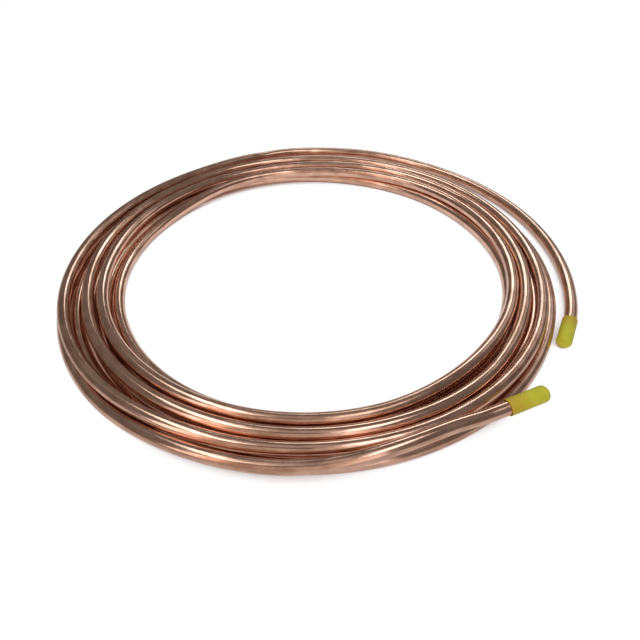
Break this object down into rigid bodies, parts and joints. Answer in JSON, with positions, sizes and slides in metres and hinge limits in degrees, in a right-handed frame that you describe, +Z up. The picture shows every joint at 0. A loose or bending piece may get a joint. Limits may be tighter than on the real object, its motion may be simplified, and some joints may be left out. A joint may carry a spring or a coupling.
{
  "type": "copper tube coil",
  "caption": "Soft copper tube wound in a flat double-layer coil with an open eye, both ends closed by push-on vinyl caps.",
  "frame": {"origin": "on the floor, under the middle of the coil's length and width", "axes": "+Z up, along the coil's axis and square to the floor; both ends of the tube lie in the quarter between +X and -Y"},
  "size_m": [0.2874, 0.2896, 0.0182],
  "materials": {
    "copper": "bright drawn copper, lightly darkened; brass stands in for copper",
    "vinyl": "translucent yellow dipped vinyl, satin"
  },
  "bodies": {
    "root": {"copper_tube": "copper", "loose_end_cap": "vinyl", "rim_end_cap": "vinyl"}
  },
  "joints": []
}
